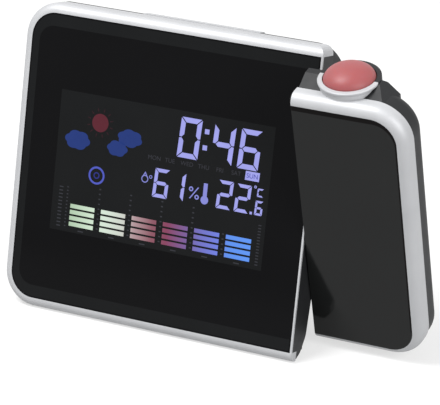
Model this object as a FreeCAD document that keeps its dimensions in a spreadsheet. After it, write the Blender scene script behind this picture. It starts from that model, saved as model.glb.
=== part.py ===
import FreeCAD, Part
import math
import os
import Sketcher
from FreeCAD import Placement, Rotation, Vector

# A bedside projection clock: a slim main body that leans back, and a projector
# arm on its right-hand side that turns on a hollow shaft.
# Millimetres, +Z up, front of the clock towards -Y, origin on the table.

doc = FreeCAD.newDocument("projection_alarm_clock")
sheet = doc.addObject("Spreadsheet::Sheet", "sizes")

# Driving dimensions. "Up" is measured along the face, "deep" square to it.
SIZES = [
    ("origin_right", 74.3, "clock's left lens edge to the origin, along X"),
    ("origin_back", 20.863, "front lens face at the table to the origin, along Y"),
    ("origin_up", 4.09, "lower lens edge above the table"),
    ("body_lean", 12.5, "degrees the main body leans back"),
    ("arm_lean", 13.0, "degrees the arm leans forward as photographed"),
    ("lens_width", 110.1, "main lens across"),
    ("lens_height", 101.2, "main lens up"),
    ("lens_corner", 9.0, "main lens corner radius"),
    ("lens_thick", 1.5, "both lenses"),
    ("rim_width", 3.3, "silver rim round the main lens"),
    ("rim_round", 3.0, "round on the front edge of the rim"),
    ("strip_width", 0.6, "thin silver strip along the right of the main lens"),
    ("strip_deep", 0.8, "thin silver strip, front to back"),
    ("ledge", 2.0, "ledge that a lens is glued to"),
    ("parting_low", 4.0, "rim depth at the bottom"),
    ("parting_high", 8.2, "rim depth at the top"),
    ("back_low", 10.0, "body depth at the bottom"),
    ("back_high", 20.3, "body depth at the top"),
    ("case_step", 0.5, "rear case set in from the rim"),
    ("wall", 2.0, "case wall"),
    ("hump_left", 12.0, "battery housing, left side"),
    ("hump_right", 86.0, "battery housing, right side"),
    ("hump_depth", 34.0, "body depth over the battery housing"),
    ("foot_height", 1.0, "rubber foot"),
    ("foot_radius", 4.5, "rubber foot"),
    ("screen_left", 10.0, "display glass"),
    ("screen_right", 100.0, "display glass"),
    ("screen_low", 22.0, "display glass"),
    ("screen_high", 80.0, "display glass"),
    ("screen_thick", 2.6, "display glass"),
    ("guide_thick", 2.9, "light guide"),
    ("board_thick", 1.6, "circuit boards"),
    ("board_deep", 8.0, "main board behind the face"),
    ("snooze_left", 38.0, "snooze bar"),
    ("snooze_right", 82.8, "snooze bar"),
    ("key_long", 9.0, "setting key"),
    ("key_tall", 4.4, "setting key"),
    ("key_pitch", 14.0, "setting key spacing"),
    ("key_gap", 0.4, "setting key clearance"),
    ("cell_radius", 5.25, "AAA cell"),
    ("cell_long", 44.5, "AAA cell"),
    ("cell_pitch", 11.6, "cell spacing"),
    ("hinge_up", 41.35, "arm shaft above the lower lens edge"),
    ("hinge_deep", 8.2, "arm shaft behind both faces"),
    ("shaft_radius", 3.0, "arm shaft"),
    ("shaft_bore", 1.7, "wire passage through the shaft"),
    ("shaft_fit", 0.05, "radial play of the shaft in its bush"),
    ("arm_gap", 0.5, "gap between main body and arm"),
    ("arm_lens_width", 37.0, "arm lens across"),
    ("arm_lens_top", 54.8, "arm lens above the shaft"),
    ("arm_lens_drop", 37.1, "arm lens below the shaft"),
    ("arm_rim", 3.7, "silver rim round the arm lens, top and right"),
    ("arm_rim_low", 2.6, "silver rim under the arm lens"),
    ("arm_round", 3.4, "round on the front edge of the arm rim"),
    ("arm_parting", 5.7, "arm rim depth"),
    ("arm_depth", 15.5, "arm depth at the edge"),
    ("tube_right", 16.0, "projector axis from the arm's left side"),
    ("tube_deep", 12.3, "projector axis behind the arm face"),
    ("collar_radius", 10.6, "collar round the projector window, at its lip"),
    ("collar_bore", 9.0, "collar round the projector window, inside"),
    ("collar_top", 61.4, "collar rim above the shaft"),
    ("window_radius", 8.8, "red projector window, its dome"),
    ("window_rise", 5.1, "red projector window, crown above its edge"),
    ("housing_bore", 9.4, "projector housing, inside"),
    ("barrel_radius", 4.6, "sliding focus barrel"),
    ("barrel_deeper", 3.0, "focus barrel axis behind the window axis"),
    ("wheel_radius", 13.0, "focus wheel"),
    ("wheel_thick", 4.5, "focus wheel"),
    ("wheel_up", 43.0, "focus wheel above the shaft"),
    ("screw_radius", 1.2, "case screw thread"),
    ("screw_head", 2.4, "case screw head"),
]


class Size:
    """A length that knows its value and the sheet formula that gives it."""

    def __init__(self, value, formula):
        self.value = float(value)
        self.formula = formula

    def __float__(self):
        return self.value

    def join(self, other, sign, value, swapped=False):
        text = other.formula if isinstance(other, Size) else f"{float(other):.6f}"
        pair = (text, self.formula) if swapped else (self.formula, text)
        return Size(value, f"({pair[0]} {sign} {pair[1]})")

    def __add__(self, other):
        return self.join(other, "+", self.value + float(other))

    def __radd__(self, other):
        return self.join(other, "+", float(other) + self.value, True)

    def __sub__(self, other):
        return self.join(other, "-", self.value - float(other))

    def __rsub__(self, other):
        return self.join(other, "-", float(other) - self.value, True)

    def __mul__(self, other):
        return self.join(other, "*", self.value * float(other))


def read_sizes():
    """Fill the sheet and hand back its cells by alias."""
    cells = {}
    for row, (alias, value, note) in enumerate(SIZES, 1):
        sheet.set(f"A{row}", alias)
        sheet.set(f"B{row}", str(value))
        sheet.set(f"C{row}", note)
        sheet.setAlias(f"B{row}", alias)
        cells[alias] = Size(value, f"sizes.{alias}")
    doc.recompute()
    return cells


D = read_sizes()
SUB_PARTS = []


def bind(item, name, size):
    """Set a property and, for a sheet size, tie it to its formula."""
    if isinstance(size, Size):
        item.setExpression(name, size.formula)
    elif "." not in name:
        setattr(item, name, float(size))


def put(item, place, turn=None):
    """Place an item at sheet sizes along X, Y and Z."""
    item.Placement = Placement(Vector(*[float(p) for p in place]), turn or Rotation())
    for letter, size in zip("xyz", place):
        bind(item, f"Placement.Base.{letter}", size)


def block(name, low, high):
    """A plain block from its low corner to its high corner."""
    item = doc.addObject("Part::Box", name)
    for side, start, end in zip(("Length", "Width", "Height"), low, high):
        bind(item, side, end - start)
    put(item, low)
    return item


def rod(name, radius, start, length, axis="Z"):
    """A cylinder from its start point along one axis."""
    item = doc.addObject("Part::Cylinder", name)
    bind(item, "Radius", radius)
    bind(item, "Height", length)
    turns = {"Z": Rotation(), "X": Rotation(Vector(0, 1, 0), 90), "Y": Rotation(Vector(1, 0, 0), -90)}
    put(item, start, turns[axis])
    return item


def cut(name, base, *tools):
    """The base with every tool taken out of it."""
    for number, tool in enumerate(tools, 1):
        item = doc.addObject("Part::Cut", name if number == len(tools) else f"{name}_cut{number}")
        item.Base = base
        item.Tool = tool
        base = item
    return base


def fuse(name, *parts):
    """Touching solids joined into one."""
    item = doc.addObject("Part::MultiFuse", name)
    item.Shapes = list(parts)
    item.Refine = True
    return item


def common(name, *parts):
    """What overlapping solids share."""
    item = doc.addObject("Part::MultiCommon", name)
    item.Shapes = list(parts)
    return item


def fillet(name, base, *picks):
    """Round the edges that each test accepts, each with its own radius."""
    doc.recompute()
    item = doc.addObject("Part::Fillet", name)
    item.Base = base
    edges = []
    for test, radius in picks:
        for number, edge in enumerate(base.Shape.Edges, 1):
            if test(edge):
                edges.append((number, float(radius), float(radius)))
    item.Edges = edges
    return item


def along(edge, axis):
    """Whether an edge is straight and runs along an axis."""
    if not isinstance(edge.Curve, Part.Line):
        return False
    run = edge.Vertexes[-1].Point - edge.Vertexes[0].Point
    return abs(abs(run.dot(axis)) - run.Length) < 1e-4


def new_sketch(body, role):
    """A sketch on one of the body's own origin planes."""
    plane = [item for item in body.Origin.OriginFeatures if item.Role == role][0]
    sketch = body.newObject("Sketcher::SketchObject", f"{body.Name}_sketch")
    sketch.AttachmentSupport = [(plane, "")]
    sketch.MapMode = "FlatFace"
    return sketch


def tie(sketch, kind, line, end, size):
    """Hold a line's end at a distance from the sketch origin, along one axis."""
    number = sketch.addConstraint(Sketcher.Constraint(kind, -1, 1, line, end, float(size)))
    if isinstance(size, Size):
        sketch.setExpression(f"Constraints[{number}]", size.formula)


def draw_polygon(sketch, points):
    """A closed outline whose corners are each held by two distances."""
    corners = [Vector(float(across), float(up), 0) for across, up in points]
    for number, corner in enumerate(corners):
        sketch.addGeometry(Part.LineSegment(corner, corners[(number + 1) % len(corners)]), False)
    for number in range(len(corners)):
        sketch.addConstraint(Sketcher.Constraint("Coincident", number, 2, (number + 1) % len(corners), 1))
    for number, (across, up) in enumerate(points):
        tie(sketch, "DistanceX", number, 1, across)
        tie(sketch, "DistanceY", number, 1, up)


def prism(name, start, points, length):
    """A side profile of (deep, up) corners, drawn out along X."""
    body = doc.addObject("PartDesign::Body", name)
    sketch = new_sketch(body, "YZ_Plane")
    draw_polygon(sketch, points)
    pad = body.newObject("PartDesign::Pad", f"{name}_pad")
    pad.Profile = sketch
    bind(pad, "Length", length)
    put(body, start)
    return body


def turned(name, points, start=(0, 0, 0), turn=None):
    """A half profile of (radius, height) corners turned about Z."""
    body = doc.addObject("PartDesign::Body", name)
    sketch = new_sketch(body, "XZ_Plane")
    draw_polygon(sketch, points)
    revolve = body.newObject("PartDesign::Revolution", f"{name}_turn")
    revolve.Profile = sketch
    revolve.ReferenceAxis = (sketch, ["V_Axis"])
    revolve.Angle = 360
    put(body, start, turn)
    return body


def plate(name, low, width, height, thick, corners=(None, None, None, None)):
    """An upright plate whose corner radii run low left, low right, top right, top left."""
    body = doc.addObject("PartDesign::Body", name)
    sketch = new_sketch(body, "XZ_Plane")
    spots = [(0, 0, 1, 1), (width, 0, -1, 1), (width, height, -1, -1), (0, height, 1, -1)]
    lines = []
    for number in range(4):
        ends = []
        for corner, step in ((number, 1), ((number + 1) % 4, -1)):
            across, up, right, rise = spots[corner]
            reach = float(corners[corner] or 0)
            flat = number % 2 == 0
            ends.append(Vector(float(across) + right * reach * flat, float(up) + rise * reach * (not flat), 0))
        lines.append(sketch.addGeometry(Part.LineSegment(*ends), False))
    for number in range(4):
        before = lines[number - 1]
        if corners[number] is None:
            sketch.addConstraint(Sketcher.Constraint("Coincident", before, 2, lines[number], 1))
            continue
        across, up, right, rise = spots[number]
        radius = float(corners[number])
        centre = Vector(float(across) + right * radius, float(up) + rise * radius, 0)
        start_angle = math.pi + number * math.pi / 2
        circle = Part.Circle(centre, Vector(0, 0, 1), radius)
        arc = sketch.addGeometry(Part.ArcOfCircle(circle, start_angle, start_angle + math.pi / 2), False)
        sketch.addConstraint(Sketcher.Constraint("Tangent", before, 2, arc, 1))
        sketch.addConstraint(Sketcher.Constraint("Tangent", arc, 2, lines[number], 1))
        radius_number = sketch.addConstraint(Sketcher.Constraint("Radius", arc, radius))
        if isinstance(corners[number], Size):
            sketch.setExpression(f"Constraints[{radius_number}]", corners[number].formula)
    for number in range(4):
        sketch.addConstraint(Sketcher.Constraint("Vertical" if number % 2 else "Horizontal", lines[number]))
    sketch.addConstraint(Sketcher.Constraint("PointOnObject", lines[0], 1, -1))
    sketch.addConstraint(Sketcher.Constraint("PointOnObject", lines[3], 1, -2))
    tie(sketch, "DistanceX", lines[1], 1, width)
    tie(sketch, "DistanceY", lines[2], 1, height)
    pad = body.newObject("PartDesign::Pad", f"{name}_pad")
    pad.Profile = sketch
    pad.Reversed = True
    bind(pad, "Length", thick)
    put(body, low)
    return body


# Two leaning frames: the main body's and the arm's. In each, X runs right,
# Y runs into the clock from the face and Z runs up the face.
BODY_FRAME = Placement(
    Vector(-float(D["origin_right"]), -float(D["origin_back"]), float(D["origin_up"])),
    Rotation(Vector(1, 0, 0), -float(D["body_lean"])),
)
HINGE = BODY_FRAME.multVec(Vector(0, float(D["hinge_deep"]), float(D["hinge_up"])))
ARM_FRAME = Placement(HINGE, Rotation(Vector(1, 0, 0), float(D["arm_lean"]))).multiply(
    Placement(Vector(0, -float(D["hinge_deep"]), 0), Rotation())
)


def sub_part(node, item, frame):
    """Name a finished piece and stand it in its leaning frame."""
    local = item.Placement
    for letter in "xyz":
        item.setExpression(f"Placement.Base.{letter}", None)
    item.Placement = frame.multiply(local)
    item.Label = node
    SUB_PARTS.append((node, item))


def many(node, frame, pieces):
    """Identical or paired pieces that share one node."""
    item = doc.addObject("Part::Compound", node)
    item.Links = pieces
    sub_part(node, item, frame)


X_AXIS = Vector(1, 0, 0)
Z_AXIS = Vector(0, 0, 1)
ALONG_X = Rotation(Vector(0, 1, 0), 90)
ALONG_Y = Rotation(Vector(1, 0, 0), -90)

# Places shared by the main body's pieces.
BODY_RIGHT = D["lens_width"] + D["strip_width"]
RIM_TOP = D["lens_height"] + D["rim_width"]
CASE_TOP = RIM_TOP - 0.1
CASE_LOW = D["rim_width"] - D["case_step"]
BACK_SLOPE = (float(D["back_high"]) - float(D["back_low"])) / (float(D["lens_height"]) + 4)
BACK_TURN = math.degrees(math.atan(BACK_SLOPE))


def parting(up):
    """Depth of the joint between rim and rear case."""
    low = float(D["parting_low"])
    return low + (float(D["parting_high"]) - low) * (up + 3.3) / 107.8


def back(up):
    """Depth of the rear case's back face."""
    return float(D["back_low"]) + BACK_SLOPE * up


# Front lens, a smoked acrylic sheet.
lens_corners = (D["lens_corner"], None, None, D["lens_corner"])
front_lens = plate("front_lens", (0, 0, 0), D["lens_width"], D["lens_height"], D["lens_thick"], lens_corners)
sub_part("front_lens", front_lens, BODY_FRAME)


# Front rim, the silver moulding with its ledge for the lens.
def make_front_rim():
    outer = D["lens_corner"] + D["rim_width"]
    blank = plate(
        "rim_blank", (D["rim_width"] * -1, 0, D["rim_width"] * -1),
        BODY_RIGHT + D["rim_width"], RIM_TOP + D["rim_width"], 9.2, (outer, None, None, outer),
    )
    right = float(BODY_RIGHT)
    rounded = fillet(
        "rim_rounded", blank,
        (lambda e: e.BoundBox.YMax < 0.01 and e.BoundBox.XMin < right - 0.1, D["rim_round"]),
    )
    corner = plate(
        "rim_corner", (D["rim_width"] * -1 - 1, -1, D["rim_width"] * -1 - 1),
        BODY_RIGHT + D["rim_width"] + 1, RIM_TOP + D["rim_width"] + 1, 12, (None, None, 3, None),
    )
    rounded = common("rim_cornered", rounded, corner)
    seat = plate("rim_seat", (0, -2, 0), D["lens_width"], D["lens_height"], D["lens_thick"] + 2, lens_corners)
    inner = D["lens_corner"] - D["ledge"]
    opening = plate(
        "rim_opening", (D["ledge"], -2, D["ledge"]),
        D["lens_width"] - D["ledge"] * 2, D["lens_height"] - D["ledge"] * 2, 14, (inner, 1, 1, inner),
    )
    behind = prism(
        "rim_behind", (-10, 0, -10),
        [(parting(-10), 0), (30, 0), (30, 125), (parting(115), 125)], 130,
    )
    side = block(
        "rim_side", (D["lens_width"] - D["ledge"] - 0.1, D["lens_thick"], D["ledge"] * 0),
        (BODY_RIGHT + 2, D["lens_thick"] + 10, D["lens_height"]),
    )
    strip_back = block(
        "rim_strip_back", (D["lens_width"], D["strip_deep"], D["ledge"] * 0), (BODY_RIGHT + 2, 11.5, D["lens_height"])
    )
    return cut("rim_shaped", rounded, seat, opening, behind, side, strip_back)


front_rim = make_front_rim()


# Screw places, shared by the rim's bosses, the rear case and the screws.
CASE_SCREWS = [(6.4, 13.0), (6.4, 92.0), (103.6, 13.0), (103.6, 92.0)]
BOSS_RADIUS = 2.6

rim_bosses = []
for number, (right, up) in enumerate(CASE_SCREWS, 1):
    rim_bosses.append(rod(f"rim_boss{number}", BOSS_RADIUS, (right, 1.5, up), parting(up - 3) - 1.5, "Y"))
    web_low = -1.0 if up < 50 else up
    web_high = up if up < 50 else 102.0
    rim_bosses.append(block(f"rim_web{number}", (right - 1.0, 1.5, web_low), (right + 1.0, 3.0, web_high)))
rim_whole = fuse("rim_whole", front_rim, *rim_bosses)
rim_pilots = [
    rod(f"rim_pilot{number}", D["screw_radius"], (right, 2.2, up), 20, "Y")
    for number, (right, up) in enumerate(CASE_SCREWS, 1)
]
sub_part("front_rim", cut("front_rim", rim_whole, *rim_pilots), BODY_FRAME)


# Rear case: a wedge shell with a battery housing that it stands on.
HUMP_LOW_FRONT = 12.0


def floor_line(deep, above):
    """Height up the face at which a point this deep is so far above the table."""
    lean = math.radians(float(D["body_lean"]))
    return (above - float(D["origin_up"]) + deep * math.sin(lean)) / math.cos(lean)


def case_profile(inset):
    """The wedge's side profile, 20 up; a set-in one starts at the face itself."""
    low = -2.8 + inset
    top = 104.4 - inset
    rear = [
        (parting(low) + inset * 0.5, low + 20),
        (7.2 - inset * 0.73, -1.0 + inset * 0.74 + 20),
        (back(4.5) - inset * 0.97, 4.5 + inset * 0.32 + 20),
        (back(94) - inset, 94.0 + 20),
        (12.0 - inset * 0.6, top + 20),
    ]
    if inset == 0:
        return rear + [(parting(top), top + 20)]
    return [(0, low + 20)] + rear + [(0, top + 20)]


def hump_profile(inset):
    """The battery housing's side profile."""
    deep = float(D["hump_depth"]) - inset
    above = float(D["foot_height"]) + inset
    return [
        (8.0, floor_line(8.0, above) + 20 + 2.0),
        (HUMP_LOW_FRONT, floor_line(HUMP_LOW_FRONT, above) + 20),
        (deep, floor_line(deep, above) + 20),
        (deep, 56.0 + 20),
        (26.0 - inset, 76.0 - inset + 20),
        (8.0, 80.0 - inset + 20),
    ]


def make_rear_case():
    left = D["rim_width"] * -1 + D["case_step"]
    outer = D["lens_corner"] + D["rim_width"] - D["case_step"]
    wedge = prism("case_wedge", (left, 0, -20), case_profile(0), BODY_RIGHT - left)
    wedge_round = fillet(
        "case_wedge_round", wedge,
        (lambda e: along(e, X_AXIS) and e.CenterOfMass.y > 11 and e.CenterOfMass.z > 80, 3.5),
        (lambda e: along(e, X_AXIS) and e.CenterOfMass.y > 6 and e.CenterOfMass.z < 10, 6.0),
    )
    outline = plate(
        "case_outline", (left, 1.0, left), BODY_RIGHT - left, CASE_TOP - left, 60, (outer, None, 8, outer)
    )
    slab = doc.addObject("Part::Box", "case_slab")
    slab.Length, slab.Width, slab.Height = 140, 40, 150
    slab.Placement = Placement(
        Vector(float(left), back(0), 0), Rotation(Vector(1, 0, 0), -BACK_TURN)
    ).multiply(Placement(Vector(0, -40, -20), Rotation()))
    doc.recompute()
    left_rear = slab.Placement.multVec(Vector(0, 40, 75))
    slab_round = fillet(
        "case_slab_round", slab,
        (lambda e: e.CenterOfMass.distanceToPoint(left_rear) < 0.1, 5.0),
    )
    shell_round = common("case_shell", wedge_round, outline, slab_round)
    cheek = block(
        "case_cheek", (D["lens_width"] - D["ledge"], D["lens_thick"], D["ledge"] * 0 + 0.05),
        (BODY_RIGHT, 8.4, D["lens_height"] - 0.05),
    )
    cheek_lip = block(
        "case_cheek_lip", (D["lens_width"] + 0.02, D["strip_deep"], D["ledge"] * 0 + 0.05),
        (BODY_RIGHT, 2.0, D["lens_height"] - 0.05),
    )
    hump = prism(
        "case_hump", (D["hump_left"], 0, -20), hump_profile(0), D["hump_right"] - D["hump_left"]
    )
    hump_round = fillet(
        "case_hump_round", hump,
        (lambda e: along(e, X_AXIS) and e.CenterOfMass.y > 20, 4.0),
        (lambda e: not along(e, X_AXIS) and e.BoundBox.YMin > 10.5 and e.BoundBox.YMax > 13, 2.5),
    )
    hull = fuse("case_hull", shell_round, cheek, cheek_lip, hump_round)

    wall = D["wall"]
    hollow_wedge = prism(
        "case_hollow_wedge", (left + wall, 0, -20), case_profile(2.0), D["lens_width"] - wall - left - wall
    )
    hollow_outline = plate(
        "case_hollow_outline", (left + wall, -5, left + wall),
        BODY_RIGHT - left - wall * 2, CASE_TOP - left - wall * 2, 60, (outer - wall, 1, 6, outer - wall),
    )
    hollow = common("case_hollow", hollow_wedge, hollow_outline)
    hump_hollow = prism(
        "case_hump_hollow", (D["hump_left"] + wall, 0, -20), hump_profile(2.0),
        D["hump_right"] - D["hump_left"] - wall * 2,
    )
    return cut("case_walls", hull, hollow, hump_hollow)


case_walls = make_rear_case()

# Battery bay: a tray in the housing, open to the back.
BAY_LEFT = 16.0
BAY_RIGHT = 68.0
BAY_LOW = 9.5
BAY_HIGH = 46.5
BAY_FLOOR = 18.5
BAY_WALL = 1.5
DOOR_THICK = 1.5
DOOR_GAP = 0.3
HUMP_BACK = float(D["hump_depth"])

bay_block = block(
    "bay_block", (BAY_LEFT - BAY_WALL, BAY_FLOOR - BAY_WALL, BAY_LOW - BAY_WALL),
    (BAY_RIGHT + BAY_WALL, HUMP_BACK - 1.0, BAY_HIGH + BAY_WALL),
)
case_with_bay = fuse("case_with_bay", case_walls, bay_block)
bay_space = block("bay_space", (BAY_LEFT, BAY_FLOOR, BAY_LOW), (BAY_RIGHT, HUMP_BACK + 5, BAY_HIGH))
door_seat = block(
    "door_seat", (BAY_LEFT - 2, HUMP_BACK - DOOR_THICK - DOOR_GAP, BAY_LOW - 2),
    (BAY_RIGHT + 2, HUMP_BACK + 5, BAY_HIGH + 2),
)

# Openings for the snooze bar and the setting keys.
SNOOZE_GAP = 0.4
snooze_slot = block(
    "snooze_slot", (D["snooze_left"] - SNOOZE_GAP, 4.0, 97.0), (D["snooze_right"] + SNOOZE_GAP, 15.0, 110.0)
)
KEY_UP = 87.5
KEY_FIRST = 24.0
KEY_NAMES = ["mode_key", "set_key", "up_key", "down_key", "alarm_key"]
KEY_TILT = Rotation(Vector(1, 0, 0), -BACK_TURN)


def key_frame(number):
    """Place of a key's foot, turned square to the back face."""
    right = KEY_FIRST + number * float(D["key_pitch"])
    return Placement(Vector(right, back(KEY_UP), KEY_UP), KEY_TILT)


key_holes = []
for number, name in enumerate(KEY_NAMES):
    gap = D["key_gap"]
    hole = plate(
        f"{name}_hole", (0, 0, 0), D["key_long"] + gap * 2, D["key_tall"] + gap * 2, 8,
        (2.4, 2.4, 2.4, 2.4),
    )
    half = Vector(-float(D["key_long"]) / 2 - 0.4, -5, -float(D["key_tall"]) / 2 - 0.4)
    hole.Placement = key_frame(number).multiply(Placement(half, Rotation()))
    key_holes.append(hole)

# Hinge boss on the right wall, and the power socket's hole in the housing.
hinge_boss = rod("hinge_boss", 5.4, (104.6, D["hinge_deep"], D["hinge_up"]), 5.0, "X")
BUSH_RADIUS = 3.9
hinge_hole = rod("hinge_hole", BUSH_RADIUS, (100, D["hinge_deep"], D["hinge_up"]), 14, "X")
clip_relief = rod("clip_relief", 5.1, (101.6, D["hinge_deep"], D["hinge_up"]), 3.0, "X")
JACK_DEEP = 24.0
JACK_UP = 12.0
jack_hole = rod("jack_hole", 3.6, (D["hump_right"] - 6, JACK_DEEP, JACK_UP), 12, "X")

# Case screws enter from the back through posts.
screw_posts = []
screw_holes = []
for number, (right, up) in enumerate(CASE_SCREWS, 1):
    start = parting(up - 3)
    screw_posts.append(rod(f"case_post{number}", BOSS_RADIUS + 0.6, (right, start, up), back(up) - 0.6 - start, "Y"))
    screw_holes.append(rod(f"case_screw_hole{number}", D["screw_radius"], (right, 0, up), 40, "Y"))
    screw_holes.append(rod(f"case_screw_sink{number}", D["screw_head"] + 0.2, (right, back(up) - 2.2, up), 10, "Y"))

vents = [
    block(f"vent{number}", (92.0, 5.0, 58.0 + number * 4), (102.0, 30.0, 59.4 + number * 4))
    for number in range(5)
]
sound_holes = [
    rod(f"sound_hole{number}", 0.8, (77 + 3.2 * math.cos(turn), 20.0, 30 + 3.2 * math.sin(turn)), 20, "Y")
    for number, turn in enumerate([math.radians(60 * step) for step in range(6)])
]
case_filled = fuse("case_filled", case_with_bay, hinge_boss, *screw_posts)
rear_case = cut(
    "rear_case", case_filled, bay_space, door_seat, snooze_slot, *key_holes, hinge_hole, clip_relief, jack_hole,
    *screw_holes, *vents, *sound_holes,
)
sub_part("rear_case", rear_case, BODY_FRAME)

many(
    "case_screws", BODY_FRAME,
    [
        turned(
            f"case_screw{number}",
            [(0, 0), (D["screw_head"], 0), (D["screw_head"], 1.2), (D["screw_head"] - 0.8, 1.8), (0, 1.8)],
            (right, back(up) - 2.2, up), ALONG_Y,
        )
        for number, (right, up) in enumerate(CASE_SCREWS, 1)
    ]
    + [
        rod(f"case_screw_shank{number}", D["screw_radius"], (right, 2.4, up), back(up) - 2.2 - 2.4, "Y")
        for number, (right, up) in enumerate(CASE_SCREWS, 1)
    ],
)

# Rubber feet under the back of the battery housing.
FOOT_DEEP = 28.0
feet = []
foot_up = floor_line(FOOT_DEEP, float(D["foot_height"]))
for number, right in enumerate((20.0, 78.0), 1):
    foot = turned(
        f"foot{number}",
        [(0, 0), (D["foot_radius"] - 0.4, 0), (D["foot_radius"], 0.4), (D["foot_radius"], D["foot_height"]),
         (0, D["foot_height"])],
    )
    seat = BODY_FRAME.multVec(Vector(right, FOOT_DEEP, foot_up))
    foot.Placement = Placement(Vector(seat.x, seat.y, 0), Rotation())
    feet.append(foot)
many("rear_feet", Placement(), feet)

# Snooze bar: a silver key across the top edge.
snooze_front = parting(103) + 0.5
snooze_blank = prism(
    "snooze_blank", (D["snooze_left"], 0, -20),
    [(snooze_front, 117.4), (14.6, 117.4), (14.6, 121.3), (12.2, 124.7), (snooze_front, 124.7)],
    D["snooze_right"] - D["snooze_left"],
)
snooze_round = fillet(
    "snooze_round", snooze_blank,
    (lambda e: along(e, X_AXIS) and e.CenterOfMass.y > 12 and e.CenterOfMass.z > 100, 1.2),
)
snooze_flange = block(
    "snooze_flange", (D["snooze_left"] - 1.6, parting(103) + 0.9, 97.4), (D["snooze_right"] + 1.6, 12.2, 99.2)
)
sub_part("snooze_bar", fuse("snooze_bar", snooze_round, snooze_flange), BODY_FRAME)

# Setting keys on the back, each a capsule on a foot.
for number, name in enumerate(KEY_NAMES):
    cap = plate(f"{name}_cap", (0, 0, 0), D["key_long"], D["key_tall"], 3.6, (2.1, 2.1, 2.1, 2.1))
    cap_round = fillet(f"{name}_round", cap, (lambda e: e.BoundBox.YMin > 3.59, 0.6))
    flange = plate(f"{name}_flange", (-1.2, -1.0, -1.2), D["key_long"] + 2.4, D["key_tall"] + 2.4, 1.0)
    key = fuse(f"{name}_whole", cap_round, flange)
    corner = Vector(-float(D["key_long"]) / 2, -2.3, -float(D["key_tall"]) / 2)
    key.Placement = key_frame(number).multiply(Placement(corner, Rotation()))
    sub_part(name, key, BODY_FRAME)

# Display: glass, light guide, the frame that holds them and the rubber contact strip.
screen_wide = D["screen_right"] - D["screen_left"]
screen_tall = D["screen_high"] - D["screen_low"]
lcd = plate("lcd_glass", (D["screen_left"], D["lens_thick"], D["screen_low"]), screen_wide, screen_tall, D["screen_thick"])
sub_part("lcd_panel", lcd, BODY_FRAME)
guide_deep = D["lens_thick"] + D["screen_thick"]
guide = plate(
    "light_guide_sheet", (D["screen_left"], guide_deep, D["screen_low"] + 3),
    screen_wide - 2, screen_tall - 3, D["guide_thick"],
)
sub_part("light_guide", guide, BODY_FRAME)
holder_blank = plate(
    "holder_blank", (D["screen_left"] - 1.5, D["lens_thick"], D["screen_low"] - 1.5),
    screen_wide + 3, screen_tall + 3, 5.9, (1, 1, 1, 1),
)
holder_space = plate(
    "holder_space", (D["screen_left"], 0, D["screen_low"]), screen_wide, screen_tall, 10
)
sub_part("lcd_holder", cut("lcd_holder", holder_blank, holder_space), BODY_FRAME)
strip = plate(
    "contact_strip_bar", (D["screen_left"] + 2, guide_deep, D["screen_low"]), screen_wide - 4, 2.6,
    D["board_deep"] - guide_deep,
)
sub_part("contact_strip", strip, BODY_FRAME)

# Main board with its controller, the backlight lamps and the wire socket.
BOARD_LOW = 20.5
BOARD_HIGH = 96.0
board_blank = plate(
    "board_blank", (10.2, D["board_deep"], BOARD_LOW), 89.6, BOARD_HIGH - BOARD_LOW, D["board_thick"], (2, 2, 2, 2)
)
board_clear = rod("board_clear", 8.0, (98.5, D["hinge_deep"], D["hinge_up"]), 8, "X")
sub_part("main_board", cut("main_board", board_blank, board_clear), BODY_FRAME)
board_back = D["board_deep"] + D["board_thick"]
chip = plate("controller_chip_body", (48.0, board_back, 60.0), 11.0, 11.0, 1.4, (0.5, 0.5, 0.5, 0.5))
sub_part("controller_chip", chip, BODY_FRAME)
switches = [
    plate(f"switch{number}", (KEY_FIRST + number * 14.0 - 3.0, board_back, 84.0), 6.0, 6.0, 3.4)
    for number in range(5)
]
plungers = [
    rod(f"plunger{number}", 1.5, (KEY_FIRST + number * 14.0, board_back + 3.4, 87.0), 1.2, "Y")
    for number in range(5)
]
many(
    "key_switches", BODY_FRAME,
    [fuse(f"key_switch{number}", *pair) for number, pair in enumerate(zip(switches, plungers))],
)
snooze_body = plate("snooze_switch_body", (58.0, board_back, 91.8), 6.0, 3.6, 4.0)
snooze_plunger = rod("snooze_plunger", 1.2, (61.0, board_back + 2.0, 95.4), 0.8)
sub_part("snooze_switch", fuse("snooze_switch", snooze_body, snooze_plunger), BODY_FRAME)
many(
    "backlight_lamps", BODY_FRAME,
    [plate(f"lamp{number}", (98.2, guide_deep + 0.4, up), 1.4, 3.0, 2.0) for number, up in enumerate((30, 52, 72))],
)
socket = plate("lead_socket_body", (90.0, board_back, 47.0), 7.0, 5.0, 2.6)
sub_part("lead_socket", socket, BODY_FRAME)

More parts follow.
